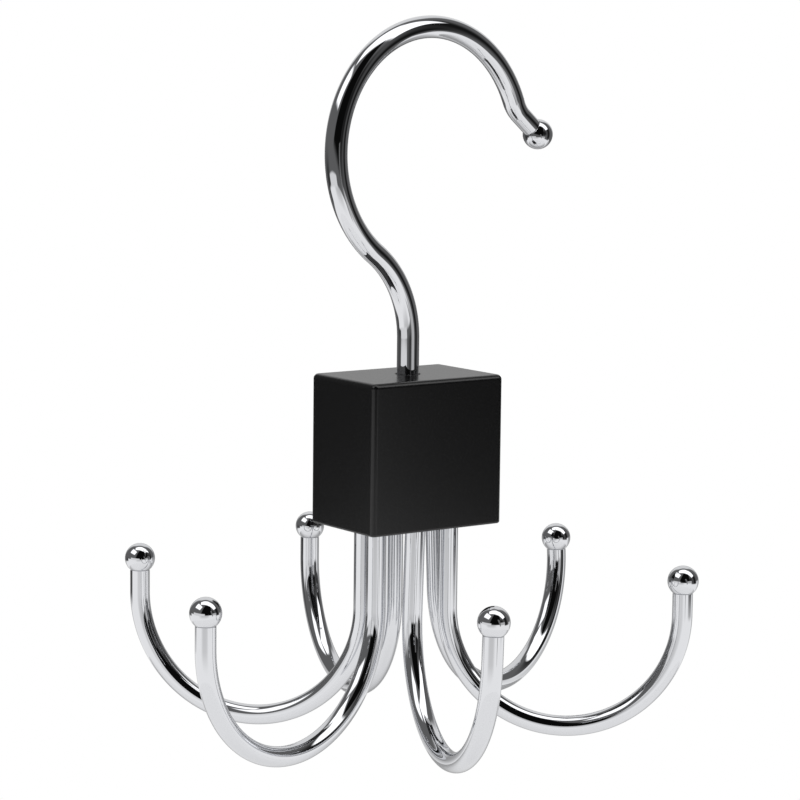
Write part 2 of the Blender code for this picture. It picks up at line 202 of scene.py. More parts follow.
def slope(tree, direction, along, depth):
    """How far a ray leans along one axis of a panel, as a slope."""
    lean = add(tree, "ShaderNodeVectorMath", {0: direction, 1: along}, operation="DOT_PRODUCT")
    return add(
        tree, "ShaderNodeMath", {0: lean.outputs["Value"], 1: depth}, operation="DIVIDE"
    ).outputs[0]


def inside(tree, value, middle, half, soft):
    """1 where a slope lies within the panel, falling to 0 over its soft edge."""
    shifted = add(tree, "ShaderNodeMath", {0: value, 1: middle}, operation="SUBTRACT")
    size = add(tree, "ShaderNodeMath", {0: shifted.outputs[0]}, operation="ABSOLUTE")
    edge = {
        "Value": size.outputs[0],
        "From Min": half + soft,
        "From Max": half - soft,
        "To Min": 0.0,
        "To Max": 1.0,
    }
    return add(tree, "ShaderNodeMapRange", edge, interpolation_type="SMOOTHSTEP").outputs[0]


def panel_mask(tree, direction, azimuth, elevation, roll, middle, half, soft):
    """1 for directions that lie on the panel, 0 elsewhere."""
    ahead, right, up = panel_axes(azimuth, elevation, roll)
    depth = add(
        tree, "ShaderNodeVectorMath", {0: direction, 1: ahead}, operation="DOT_PRODUCT"
    ).outputs["Value"]
    facing = add(tree, "ShaderNodeMath", {0: depth, 1: 0.0}, operation="GREATER_THAN")
    across = inside(tree, slope(tree, direction, right, depth), middle[0], half[0], soft)
    upward = inside(tree, slope(tree, direction, up, depth), middle[1], half[1], soft)
    both = add(tree, "ShaderNodeMath", {0: across, 1: upward}, operation="MULTIPLY")
    return add(
        tree, "ShaderNodeMath", {0: both.outputs[0], 1: facing.outputs[0]}, operation="MULTIPLY"
    ).outputs[0]


print("far panels:", len(FAR_PANELS))

# %% [markdown]
# A world can look different to the camera than to the metal. For the camera it is plain white at
# a strength of 1, as the background of the photograph is. Every other ray meets the panels, which
# are laid over the dim wall one after the other.

# %% Far room
world = bpy.data.worlds.new("photo studio")
bpy.context.scene.world = world
world.use_nodes = True
tree = world.node_tree
tree.nodes.clear()
direction = add(tree, "ShaderNodeTexCoord").outputs["Generated"]  # in a world, the way a ray goes
level = WALL_LEVEL
for name, *panel, strength, soft in FAR_PANELS:
    mask = panel_mask(tree, direction, *panel, soft)
    mixed = add(tree, "ShaderNodeMix", {"Factor": mask, "A": level, "B": strength})
    level = mixed.outputs["Result"]
    print("studio panel:", name)
seen = add(tree, "ShaderNodeLightPath").outputs["Is Camera Ray"]
shown = add(tree, "ShaderNodeMix", {"Factor": seen, "A": level, "B": 1.0}).outputs["Result"]
studio = add(tree, "ShaderNodeBackground", {"Color": colour("#FFFFFF"), "Strength": shown})
add(tree, "ShaderNodeOutputWorld", {"Surface": studio.outputs[0]})
print("world nodes:", len(tree.nodes))

# %% [markdown]
# ## The white sweep
#
# Under the hanger the studio is close. The hanger hangs in the hollow of a white paper sweep that
# rises round it to the height of the lower balls. From the hook's ball, a hand's breadth higher,
# its rim lies 20 degrees lower than from the balls of the arms, so here an infinitely distant
# picture would be wrong. The sweep is a real bowl round the hanger, and every reflection shifts
# with height as it does in the photograph.
#
# Paper bulges and sags. To the left and right of the camera its rim stands a little higher. Farther
# round on both sides it hangs lower, which lets the dark room in and keeps the block black. Behind
# the hanger and round the camera the paper lies in shade, and a thin black stand beside the camera
# draws the fine dark line in the tubes.

# %% Sweep
SWEEP_RADIUS = 0.30
SWEEP_MIDDLE = Vector((0.0, 0.0, -0.1335))
SWEEP_LEVEL = 1.05  # how bright the paper is, where 1 is white
SWEEP_EDGE = -0.058  # the sine of the angle at which the paper ends, just below level
SWEEP_SOFT = 0.03  # the edge fades over this much of the sine to either side
SWEEP_TOP = 0.40  # of the radius, above which nothing of the sweep stands
STAGE_SIDES = 96  # round the sweep and the table

# These are written like the panels of the far room. In a dip the paper is missing, so a dip has
# no brightness. A shade dims the paper's glow, which is painted shade, and a near panel stands on
# its own, above the rim too, with its own brightness. The raised rims glow dimmer than the paper,
# which is painted shade as well.
DIPS = (
    ("dip of the rim left", -120, 0, 0, (0.0, 0.27), (0.41, 0.50), 0.05),
    ("dip of the rim right", 85, 0, 0, (0.0, 0.31), (0.36, 0.50), 0.05),
)
SHADES = (
    ("shade behind", 176, 0, 0, (0.0, 0.15), (1.60, 0.70), 0.36, 0.45),
    ("shade of the camera", -12, 0, 0, (0.0, 0.45), (0.46, 0.70), 0.62, 0.25),
)
NEAR_PANELS = (
    ("raised rim left", -44, 0, 0, (0.0, -0.01), (0.65, 0.10), 0.86, 0.03),
    ("raised rim right", 52, 0, 0, (0.0, 0.0), (0.24, 0.10), 0.55, 0.03),
    ("black stand", 33, 7, -15, (0.0, 0.0), (0.04, 0.34), 0.01, 0.05),
)


def loose_object(name, shape):
    """An object made of a shape, which is used up."""
    mesh = bpy.data.meshes.new(name)
    shape.to_mesh(mesh)
    shape.free()
    made = bpy.data.objects.new(name, mesh)
    bpy.context.scene.collection.objects.link(made)
    return made


def stage_piece(name, shape, material, place):
    """Add an object of the studio, which isn't part of the hanger."""
    piece = loose_object(name, shape)
    piece.data.materials.append(material)
    piece.location = place
    piece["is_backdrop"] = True


paper = bpy.data.materials.new("glowing paper sweep")
paper.use_nodes = True
tree = paper.node_tree
tree.nodes.clear()
place = add(tree, "ShaderNodeTexCoord").outputs["Object"]
direction = add(tree, "ShaderNodeVectorMath", {0: place}, operation="NORMALIZE").outputs["Vector"]
height = add(tree, "ShaderNodeSeparateXYZ", {0: direction}).outputs["Z"]
rim = {
    "Value": height,
    "From Min": SWEEP_EDGE + SWEEP_SOFT,
    "From Max": SWEEP_EDGE - SWEEP_SOFT,
}
solid = add(tree, "ShaderNodeMapRange", rim, interpolation_type="SMOOTHSTEP").outputs[0]
for name, *panel, soft in DIPS:
    mask = panel_mask(tree, direction, *panel, soft)
    kept = add(tree, "ShaderNodeMath", {0: 1.0, 1: mask}, operation="SUBTRACT").outputs[0]
    solid = add(tree, "ShaderNodeMath", {0: solid, 1: kept}, operation="MINIMUM").outputs[0]
    print("sweep:", name)
level = SWEEP_LEVEL
for name, *panel, strength, soft in SHADES:
    mask = panel_mask(tree, direction, *panel, soft)
    mixed = add(tree, "ShaderNodeMix", {"Factor": mask, "A": level, "B": strength})
    level = mixed.outputs["Result"]
    print("sweep:", name)
for name, *panel, strength, soft in NEAR_PANELS:
    mask = panel_mask(tree, direction, *panel, soft)
    mixed = add(tree, "ShaderNodeMix", {"Factor": mask, "A": level, "B": strength})
    level = mixed.outputs["Result"]
    solid = add(tree, "ShaderNodeMath", {0: solid, 1: mask}, operation="MAXIMUM").outputs[0]
    print("sweep:", name)
seen = add(tree, "ShaderNodeLightPath").outputs["Is Camera Ray"]
unseen = add(tree, "ShaderNodeMath", {0: 1.0, 1: seen}, operation="SUBTRACT").outputs[0]
there = add(tree, "ShaderNodeMath", {0: solid, 1: unseen}, operation="MULTIPLY").outputs[0]
# The sweep catches no light: it glows, and its shades and dimmer raised rims are painted shade in that
# glow.
glow = add(tree, "ShaderNodeEmission", {"Strength": level})
clear = add(tree, "ShaderNodeBsdfTransparent")
sweep = add(tree, "ShaderNodeMixShader", {0: there, 1: clear.outputs[0], 2: glow.outputs[0]})
add(tree, "ShaderNodeOutputMaterial", {"Surface": sweep.outputs[0]})

shape = bmesh.new()
bmesh.ops.create_uvsphere(
    shape, u_segments=STAGE_SIDES, v_segments=STAGE_SIDES // 2, radius=SWEEP_RADIUS
)
above = [vertex for vertex in shape.verts if vertex.co.z > SWEEP_TOP * SWEEP_RADIUS]
bmesh.ops.delete(shape, geom=above, context="VERTS")
stage_piece("white_sweep", shape, paper, SWEEP_MIDDLE)
print("sweep:", round(2 * SWEEP_RADIUS / MM), "mm across")

# %% [markdown]
# ## The table
#
# The hanger hangs clear of the table, so no shadow reaches the picture. The table is a round
# plate in the bottom of the sweep. It glows white for the camera and for the chrome and keeps a
# share of ordinary matt paint, which is what catches the shadow when it is seen from above. In the
# chrome its glow is dimmer in the middle, as painted shade under the hanger, and dimmer behind the
# hanger, as painted shade there too.

# %% Table
TABLE_DEPTH = 0.09  # below the lowest point of the arms
TABLE_RADIUS = 0.24
TABLE_SHARE = 0.85  # of the surface that glows instead of catching light
# Painted shade under the hanger: in the middle the table's glow is dimmer, and it rises to the sweep's
# level over TABLE_SPREAD.
TABLE_MIDDLE_PAINTED_SHADE = 0.98  # how bright the glow is in the middle, from where it rises to the sweep's
TABLE_SPREAD = 0.12  # metres from the middle to where it has risen
# Painted shade behind the hanger: there the table's glow falls to this share.
TABLE_BACK_PAINTED_SHADE = 0.36  # of the glow is left behind the hanger, which outlines the tubes from below
TABLE_BACK_REACH = 0.16  # metres behind the middle to where it has fallen to that
TABLE_WHITE = 1.06  # with the light that it catches, the table is just white to the camera

table_paint = bpy.data.materials.new("glowing white table with painted shade")
table_paint.use_nodes = True
tree = table_paint.node_tree
tree.nodes.clear()
path = add(tree, "ShaderNodeLightPath")
paint = add(tree, "ShaderNodeBsdfDiffuse", {"Color": colour("#F0F0F0")})
place = add(tree, "ShaderNodeTexCoord").outputs["Object"]
reach = add(tree, "ShaderNodeVectorMath", {0: place}, operation="LENGTH").outputs["Value"]
# Painted shade under the hanger, which fades out toward the table's edge.
rise_from_painted_shade = {
    "Value": reach,
    "From Min": 0.0,
    "From Max": TABLE_SPREAD,
    "To Min": TABLE_MIDDLE_PAINTED_SHADE,
    "To Max": SWEEP_LEVEL,
}
glow = add(tree, "ShaderNodeMapRange", rise_from_painted_shade, interpolation_type="SMOOTHSTEP").outputs[0]
# Painted shade: behind the hanger the table's glow is dimmed, so that the chrome shows dark outlines
# under the tubes.
back = add(
    tree, "ShaderNodeVectorMath", {0: place, 1: panel_axes(180, 0, 0)[0]}, operation="DOT_PRODUCT"
).outputs["Value"]
painted_shade_behind = {
    "Value": back,
    "From Min": 0.0,
    "From Max": TABLE_BACK_REACH,
    "To Min": 1.0,
    "To Max": TABLE_BACK_PAINTED_SHADE,
}
shade = add(tree, "ShaderNodeMapRange", painted_shade_behind, interpolation_type="SMOOTHSTEP").outputs[0]
glow_with_painted_shade = add(tree, "ShaderNodeMath", {0: glow, 1: shade}, operation="MULTIPLY").outputs[0]
level = add(
    tree, "ShaderNodeMix", {"Factor": path.outputs["Is Camera Ray"], "A": glow_with_painted_shade, "B": TABLE_WHITE}
).outputs["Result"]
white = add(tree, "ShaderNodeEmission", {"Color": colour("#FFFFFF"), "Strength": level})
mirrored = add(
    tree,
    "ShaderNodeMath",
    {0: path.outputs["Is Camera Ray"], 1: path.outputs["Is Glossy Ray"]},
    operation="MAXIMUM",
)
share = add(tree, "ShaderNodeMath", {0: mirrored.outputs[0], 1: TABLE_SHARE}, operation="MULTIPLY")
blend = add(tree, "ShaderNodeMixShader", {0: share.outputs[0], 1: paint.outputs[0], 2: white.outputs[0]})
add(tree, "ShaderNodeOutputMaterial", {"Surface": blend.outputs[0]})

shape = bmesh.new()
bmesh.ops.create_circle(shape, cap_ends=True, segments=STAGE_SIDES, radius=TABLE_RADIUS)
stage_piece("table", shape, table_paint, Vector((0, 0, cad_box[0][2] - TABLE_DEPTH)))
print("table:", round(2 * TABLE_RADIUS / MM), "mm across")
print("it lies", round(TABLE_DEPTH / MM), "mm below the arms")

# %% [markdown]
# ## Chrome plate
#
# The hook, the arms and the balls are steel wire, polished and plated with bright chromium over
# nickel. Chromium reflects about two thirds of the light, a trace less at the red end, which is
# why chrome looks a little cool beside silver. The plate is very smooth. Polishing leaves a long,
# shallow waviness, and handling leaves faint dull patches, both far too slight to see as texture
# but enough to keep the reflections from looking drawn.

# %% Chrome
WAVE_LENGTH = 9 * MM  # polishing waviness
WAVE_HEIGHT = 0.004 * MM
HAZE_SIZE = 3 * MM  # patches of slightly duller plate
CHROME_ROUGHNESS = (0.015, 0.035)  # of the clean plate and of the duller patches
NOISE_RANGE = (0.3, 0.7)  # most of a noise lies between these

chrome, tree, shader, place = new_material("bright chrome plate")
shader.inputs["Base Color"].default_value = colour("#DADBDE")
shader.inputs["Metallic"].default_value = 1.0
wave = add(tree, "ShaderNodeTexNoise", {"Vector": place, "Scale": 1 / WAVE_LENGTH, "Detail": 1.0})
bump = add(
    tree, "ShaderNodeBump", {"Height": wave.outputs["Fac"], "Distance": WAVE_HEIGHT, "Strength": 1.0}
)
tree.links.new(bump.outputs["Normal"], shader.inputs["Normal"])
haze = add(tree, "ShaderNodeTexNoise", {"Vector": place, "Scale": 1 / HAZE_SIZE, "Detail": 1.0})
rough = add(
    tree,
    "ShaderNodeMapRange",
    {
        "Value": haze.outputs["Fac"],
        "From Min": NOISE_RANGE[0],
        "From Max": NOISE_RANGE[1],
        "To Min": CHROME_ROUGHNESS[0],
        "To Max": CHROME_ROUGHNESS[1],
    },
)
tree.links.new(rough.outputs[0], shader.inputs["Roughness"])
print("finish:", chrome.name)

# %% [markdown]
# ## Satin black paint
#
# The block is die-cast metal with a sprayed satin black enamel. Sprayed enamel levels out into a
# very fine orange peel, a ripple about a millimetre long and a few thousandths high, with finer
# grain on top. It is nearly black face on, and turns glossy at a glancing angle, which is why the
# top of the block shines and even mirrors the hook.

# %% Paint
PEEL_LENGTH = 1.1 * MM
PEEL_HEIGHT = 0.0035 * MM
GRAIN_LENGTH = 0.22 * MM
GRAIN_HEIGHT = 0.0010 * MM
ENAMEL_ROUGHNESS = (0.20, 0.28)

enamel, tree, shader, place = new_material("satin black enamel")
shader.inputs["IOR"].default_value = 1.5
peel = add(tree, "ShaderNodeTexNoise", {"Vector": place, "Scale": 1 / PEEL_LENGTH, "Detail": 2.0})
grain = add(tree, "ShaderNodeTexNoise", {"Vector": place, "Scale": 1 / GRAIN_LENGTH, "Detail": 2.0})
ripple = add(tree, "ShaderNodeBump", {"Height": peel.outputs["Fac"], "Distance": PEEL_HEIGHT})
fine = add(
    tree,
    "ShaderNodeBump",
    {"Height": grain.outputs["Fac"], "Distance": GRAIN_HEIGHT, "Normal": ripple.outputs["Normal"]},
)
tree.links.new(fine.outputs["Normal"], shader.inputs["Normal"])
pigment = add(
    tree,
    "ShaderNodeMix",
    {"Factor": peel.outputs["Fac"], "A": colour("#0A0A0B"), "B": colour("#0E0E0F")},
    data_type="RGBA",
)
tree.links.new(pigment.outputs["Result"], shader.inputs["Base Color"])
sheen = add(
    tree,
    "ShaderNodeMapRange",
    {
        "Value": grain.outputs["Fac"],
        "From Min": NOISE_RANGE[0],
        "From Max": NOISE_RANGE[1],
        "To Min": ENAMEL_ROUGHNESS[0],
        "To Max": ENAMEL_ROUGHNESS[1],
    },
)
tree.links.new(sheen.outputs[0], shader.inputs["Roughness"])
print("finish:", enamel.name)

# %% [markdown]
# ## The small steel and plastic parts
#
# Inside the block the rod turns in a flanged nylon bush and is held by a zinc plated washer and
# nut. A moulded black plug closes the hole underneath. Zinc plate is greyer and duller than
# chrome, with a faint mottle. Nylon is milky and lets a little light in, and the plug has the
# fine spark-eroded grain of its mould.

# %% Zinc, nylon and moulded plastic
MOTTLE_LENGTH = 0.8 * MM  # patches of unlike dullness
ZINC_ROUGHNESS = (0.24, 0.42)
MILK_LENGTH = 2.0 * MM  # faint clouds in the nylon
MILK_SHARE = 0.25  # of the light goes into the nylon
MILK_DEPTH = 0.5 * MM  # how far it gets
NYLON_ROUGHNESS = (0.38, 0.46)
MOULD_GRAIN = 0.30 * MM
MOULD_DEPTH = 0.006 * MM
PLASTIC_ROUGHNESS = (0.38, 0.55)

zinc, tree, shader, place = new_material("zinc plated steel")
shader.inputs["Metallic"].default_value = 1.0
mottle = add(tree, "ShaderNodeTexNoise", {"Vector": place, "Scale": 1 / MOTTLE_LENGTH, "Detail": 5.0})
tint = add(
    tree,
    "ShaderNodeMix",
    {"Factor": mottle.outputs["Fac"], "A": colour("#B4B8BE"), "B": colour("#C4C5C4")},
    data_type="RGBA",
)
tree.links.new(tint.outputs["Result"], shader.inputs["Base Color"])
dull = add(
    tree,
    "ShaderNodeMapRange",
    {"Value": mottle.outputs["Fac"], "To Min": ZINC_ROUGHNESS[0], "To Max": ZINC_ROUGHNESS[1]},
)
tree.links.new(dull.outputs[0], shader.inputs["Roughness"])

nylon, tree, shader, place = new_material("natural nylon")
shader.inputs["IOR"].default_value = 1.53
shader.inputs["Subsurface Weight"].default_value = MILK_SHARE
shader.inputs["Subsurface Scale"].default_value = MILK_DEPTH
cloud = add(tree, "ShaderNodeTexNoise", {"Vector": place, "Scale": 1 / MILK_LENGTH, "Detail": 2.0})
milk = add(
    tree,
    "ShaderNodeMix",
    {"Factor": cloud.outputs["Fac"], "A": colour("#DDD8CA"), "B": colour("#E6E2D6")},
    data_type="RGBA",
)
tree.links.new(milk.outputs["Result"], shader.inputs["Base Color"])
waxy = add(
    tree,
    "ShaderNodeMapRange",
    {"Value": cloud.outputs["Fac"], "To Min": NYLON_ROUGHNESS[0], "To Max": NYLON_ROUGHNESS[1]},
)
tree.links.new(waxy.outputs[0], shader.inputs["Roughness"])

moulded, tree, shader, place = new_material("moulded black plastic")
shader.inputs["IOR"].default_value = 1.53
pits = add(tree, "ShaderNodeTexVoronoi", {"Vector": place, "Scale": 1 / MOULD_GRAIN})
bump = add(tree, "ShaderNodeBump", {"Height": pits.outputs["Distance"], "Distance": MOULD_DEPTH})
tree.links.new(bump.outputs["Normal"], shader.inputs["Normal"])
soot = add(
    tree,
    "ShaderNodeMix",
    {"Factor": pits.outputs["Distance"], "A": colour("#161616"), "B": colour("#1C1C1C")},
    data_type="RGBA",
)
tree.links.new(soot.outputs["Result"], shader.inputs["Base Color"])
matt = add(
    tree,
    "ShaderNodeMapRange",
    {"Value": pits.outputs["Distance"], "To Min": PLASTIC_ROUGHNESS[0], "To Max": PLASTIC_ROUGHNESS[1]},
)
tree.links.new(matt.outputs[0], shader.inputs["Roughness"])
print("finishes:", zinc.name, "/", nylon.name, "/", moulded.name)

# %% [markdown]
# ## Reading the places from the frame
#
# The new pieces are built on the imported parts, so they take their places from them: the block's
# box, the socket that each arm stands in, and each ball. A ball is cut flat underneath, so its
# centre is one radius below its top and not in the middle of its box.

# %% Places
WIRE_RADIUS = 2.55 * MM
BALL_RADIUS = 3.9 * MM
BALL_LAND = math.sqrt(BALL_RADIUS**2 - WIRE_RADIUS**2)  # from a ball's centre to its flat
UP = Vector((0, 0, 1))

block_low, block_high = (Vector(corner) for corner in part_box("block"))


def socket_of(node):
    """Where an arm's upright end stands in the block, at the height of the block's underside."""
    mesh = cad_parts[node].data
    inner = [vert.co for vert in mesh.vertices if vert.co.z > block_low.z + MM]
    x, y = ((min(co[i] for co in inner) + max(co[i] for co in inner)) / 2 for i in (0, 1))
    return Vector((x, y, block_low.z))


def ball_centre(node):
    """The centre of an arm's ball."""
    low, high = (Vector(corner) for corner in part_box(node))
    return Vector(((low.x + high.x) / 2, (low.y + high.y) / 2, high.z - BALL_RADIUS))


sockets = {}
balls = {}
for number in range(1, 7):
    sockets[number] = socket_of(f"arm_{number}")
    balls[number] = ball_centre(f"arm_ball_{number}")
    reach = (balls[number] - sockets[number]).xy.length
    print(f"arm {number} reaches {reach / MM:.2f} mm out from its socket")

# %% [markdown]
# ## Drawing a rod
#
# A bent rod is made the way a bender makes it. A filled circle is the end of the rod. Extruding
# it gives a straight stretch, and spinning it about a centre gives a bend whose radius is exact.
# Both operators hand back the new end, so a rod is a chain of straights and bends.

# %% Rod tools
ROD_SIDES = 64
BEND_STEP = 1.5  # degrees between the rings of a bend
EDGE_BREAK = 0.10 * MM  # tumbled rim at the end of a wire
RIM_STEPS = 3
SHARP_ANGLE = 32  # degrees between two faces from which their edge stays sharp


def region(face):
    """A face with its edges and corners, as the operators take it."""
    return [face, *face.edges, *face.verts]


def start_rod(shape, centre, facing, radius):
    """A filled circle at a point, facing along a direction."""
    turned = facing.to_track_quat("Z", "Y").to_matrix().to_4x4()
    made = bmesh.ops.create_circle(
        shape,
        cap_ends=True,
        segments=ROD_SIDES,
        radius=radius,
        matrix=Matrix.Translation(centre) @ turned,
    )
    return made["verts"][0].link_faces[0]


def straight(shape, face, offset):
    """Extend the rod in a straight line and return its new end."""
    made = bmesh.ops.extrude_face_region(shape, geom=region(face))["geom"]
    end = next(item for item in made if isinstance(item, bmesh.types.BMFace))
    bmesh.ops.translate(shape, verts=end.verts, vec=offset)
    return end


def bend(shape, face, centre, axis, degrees, steps=None):
    """Bend the rod round an axis through a centre and return its new end."""
    made = bmesh.ops.spin(
        shape,
        geom=region(face),
        cent=centre,
        axis=axis,
        angle=turn(degrees),
        steps=steps or round(abs(degrees) / BEND_STEP),
    )["geom_last"]
    return next(item for item in made if isinstance(item, bmesh.types.BMFace))


def step_down(shape, end, by, offset):
    """Break the rim of a rod's end, then turn the end down to a smaller spigot."""
    bmesh.ops.inset_region(shape, faces=[end], thickness=EDGE_BREAK, depth=EDGE_BREAK)
    bmesh.ops.inset_region(shape, faces=[end], thickness=by - EDGE_BREAK)
    return straight(shape, end, offset)


def face_outward(shape):
    """Turn all faces the same way round, and outward, so that the volume counts as positive."""
    bmesh.ops.recalc_face_normals(shape, faces=shape.faces)
    if shape.calc_volume(signed=True) < 0:
        bmesh.ops.reverse_faces(shape, faces=shape.faces)


def finish_piece(name, shape, material, body, slot, *nodes):
    """Turn a shape into an object with its finish, riding on its body in place of its nodes."""
    face_outward(shape)
    piece = loose_object(name, shape)
    piece.data.shade_smooth()
    piece.data.set_sharp_from_angle(angle=turn(SHARP_ANGLE))
    piece.data.materials.append(material)
    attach(piece, body)
    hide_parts(*nodes)
    print(f"{name}: {len(piece.data.polygons)} faces")
    return piece


print("a rod has", ROD_SIDES, "sides, and a ring every", BEND_STEP, "degrees of bend")

# %% [markdown]
# ## The six arms
#
# Each arm leaves its socket straight down, turns through half a circle and rises straight to its
# ball. Both of its ends are turned down to a spigot: the upper one is screwed into the block, the
# other into the ball. The threads are hidden, so plain spigots stand for them. The joints are
# closed, and the tumbled rims leave a fine dark line there.
#
# Two of the arms don't hang quite upright in the photograph. They are bent upright here and then
# leaned about the middle of their shoulder, which moves all but the end in the socket.

# %% Arms
SOCKET_SHOULDER = 0.65 * MM
SOCKET_SPIGOT = 18.0 * MM
BALL_SHOULDER = 1.05 * MM
BALL_SPIGOT = 4.0 * MM
JOINT_GAP = 0.05 * MM  # left between two pieces that meet
LEANS = {2: -2.5, 6: -1.3}  # degrees that these two arms hang out of upright

headings = {}
for number, socket in sockets.items():
    lean = turn(LEANS.get(number, 0.0))
    fall = socket.z - balls[number].z
    reach = (balls[number] - socket).xy
    aside = fall * math.tan(lean)
    radius = math.sqrt(reach.length_squared - aside**2) / 2
    heading = math.atan2(reach.y, reach.x) - math.atan2(aside, 2 * radius)
    outward = Vector((math.cos(heading), math.sin(heading), 0.0))
    depth = (socket.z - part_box(f"arm_{number}")[0].z - WIRE_RADIUS) / math.cos(lean)
    bend_height = socket.z - depth + radius
    start = socket - UP * (JOINT_GAP + EDGE_BREAK)
    shape = bmesh.new()
    root = start_rod(shape, start, UP, WIRE_RADIUS)
    end = straight(shape, root, UP * (bend_height - start.z))
    centre = Vector((socket.x, socket.y, bend_height)) + outward * radius
    end = bend(shape, end, centre, outward.cross(UP), 180)
    tip_height = socket.z - fall / math.cos(lean) - BALL_LAND - JOINT_GAP - EDGE_BREAK
    tip = straight(shape, end, UP * (tip_height - bend_height))
    bmesh.ops.recalc_face_normals(shape, faces=shape.faces)
    step_down(shape, root, SOCKET_SHOULDER, UP * SOCKET_SPIGOT)
    step_down(shape, tip, BALL_SHOULDER, UP * BALL_SPIGOT)
    leaning = Matrix.Rotation(lean, 3, outward)
    hanging = [vert for vert in shape.verts if vert.co.z < socket.z - WIRE_RADIUS]
    bmesh.ops.rotate(shape, verts=hanging, cent=socket, matrix=leaning)
    headings[number] = leaning @ UP
    finish_piece(f"wire_arm_{number}", shape, chrome, "carrier", "chrome", f"arm_{number}")

# %% [markdown]
# ## The balls
#
# A ball is turned from bar: a sphere with a flat where the wire meets it and a blind hole in the
# flat. The cut through the sphere is filled, its rim is rounded, and the hole is sunk from it.

# %% Balls
BALL_ROUND = 96
BALL_RINGS = 64
RIM_ROUND = 0.12 * MM
BORE_DEPTH = 4.2 * MM
BORE_RADIUS = WIRE_RADIUS - BALL_SHOULDER + JOINT_GAP


def round_edges(shape, edges, size, steps):
    """Round edges of a shape to an arc of some steps."""
    bmesh.ops.bevel(
        shape,
        geom=edges,
        offset=size,
        affect="EDGES",
        segments=steps,
        profile=0.5,
        material=-1,
    )


def turned_ball(centre, heading):
    """A ball with its flat and its blind hole behind it, pointing along a heading."""
    shape = bmesh.new()
    bmesh.ops.create_uvsphere(
        shape, u_segments=BALL_ROUND, v_segments=BALL_RINGS, radius=BALL_RADIUS
    )
    bmesh.ops.bisect_plane(
        shape,
        geom=[*shape.verts, *shape.edges, *shape.faces],
        plane_co=(0, 0, -BALL_LAND),
        plane_no=(0, 0, -1),
        clear_outer=True,
    )
    rim = [edge for edge in shape.edges if edge.is_boundary]
    bmesh.ops.contextual_create(shape, geom=rim)
    round_edges(shape, rim, RIM_ROUND, RIM_STEPS)
    bmesh.ops.recalc_face_normals(shape, faces=shape.faces)
    flat = max(shape.faces, key=lambda face: face.calc_area())
    flat_radius = (flat.verts[0].co - flat.calc_center_median()).length
    bmesh.ops.inset_region(shape, faces=[flat], thickness=flat_radius - BORE_RADIUS)
    straight(shape, flat, UP * BORE_DEPTH)
    place = heading.to_track_quat("Z", "Y").to_matrix().to_4x4()
    bmesh.ops.transform(shape, matrix=Matrix.Translation(centre) @ place, verts=shape.verts)
    return shape


for number, centre in balls.items():
    shape = turned_ball(centre, headings[number])
    finish_piece(f"arm_end_{number}", shape, chrome, "carrier", "chrome", f"arm_ball_{number}")

# %% [markdown]
# ## The hook
#
# The rod stands on the washer inside the block. It rises, swings aside in the neck, goes over the
# rail in the crown and turns outward at the tip. The swing brings the rail back over the block, so
# that the hanger hangs plumb. At the tip the rod is drawn down to the arms' thickness, to take the
# same ball. Its bends are arcs that run into each other without a kink, so their centres are
# worked out first and the rod is spun round them one after the other.

# %% Hook
ROD_RADIUS = 2.8 * MM
ROD_SHOULDER = 0.8 * MM
NECK_BEND_RADIUS = 26.6 * MM
NECK_LENGTH = 9.0 * MM
CROWN_RADIUS = 30.85 * MM
CROWN_OFFSET = 6.67 * MM  # from the block's axis toward the tip
CROWN_END = 22.5  # degrees above level where the crown ends
TAIL_BEND_RADIUS = 8.8 * MM
TAIL_BEND = 28.6  # degrees that the tip turns outward
TAIL_LENGTH = 7.9 * MM  # from the last bend to the ball's centre
TAPER_STEPS = 24
HOOK_TURN = 5.4  # degrees from the block's length

toward_tip = Vector((math.cos(turn(HOOK_TURN)), math.sin(turn(HOOK_TURN)), 0.0))
hook_axis = toward_tip.cross(UP)
neck = -NECK_BEND_RADIUS * toward_tip + UP * (block_high.z + NECK_LENGTH)
crown_drop = math.sqrt((CROWN_RADIUS - ROD_RADIUS) ** 2 - CROWN_OFFSET**2)
crown = CROWN_OFFSET * toward_tip - UP * crown_drop
meet = math.degrees(math.atan2(crown.z - neck.z, (crown - neck).dot(toward_tip)))
crown_end = math.cos(turn(CROWN_END)) * toward_tip + math.sin(turn(CROWN_END)) * UP
tail = crown + (CROWN_RADIUS + TAIL_BEND_RADIUS) * crown_end
tip_angle = turn(CROWN_END - 90 + TAIL_BEND)
tip_heading = math.cos(tip_angle) * toward_tip + math.sin(tip_angle) * UP
thinner = ((WIRE_RADIUS / ROD_RADIUS) ** (1 / TAPER_STEPS),) * 3

shape = bmesh.new()
washer_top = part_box("nut_washer")[1].z
root = start_rod(shape, UP * (washer_top + EDGE_BREAK), UP, ROD_RADIUS)
end = straight(shape, root, UP * (neck.z - washer_top - EDGE_BREAK))
end = bend(shape, end, neck, hook_axis, meet)
end = bend(shape, end, crown, hook_axis, CROWN_END - 180 - meet)
for _ in range(TAPER_STEPS):
    end = bend(shape, end, tail, hook_axis, TAIL_BEND / TAPER_STEPS, steps=1)
    middle = end.calc_center_median()
    bmesh.ops.scale(shape, verts=end.verts, vec=thinner, space=Matrix.Translation(-middle))
hook_ball = end.calc_center_median() + TAIL_LENGTH * tip_heading
seat = TAIL_LENGTH - BALL_LAND - JOINT_GAP - EDGE_BREAK
tip = straight(shape, end, seat * tip_heading)
bmesh.ops.recalc_face_normals(shape, faces=shape.faces)
thread_length = washer_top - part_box("top_hook")[0].z
step_down(shape, root, ROD_SHOULDER, -UP * thread_length)
step_down(shape, tip, BALL_SHOULDER, BALL_SPIGOT * tip_heading)
finish_piece("hook_rod", shape, chrome, "hook", "chrome", "top_hook")

shape = turned_ball(hook_ball, tip_heading)
finish_piece("hook_end", shape, chrome, "hook", "chrome", "hook_ball")

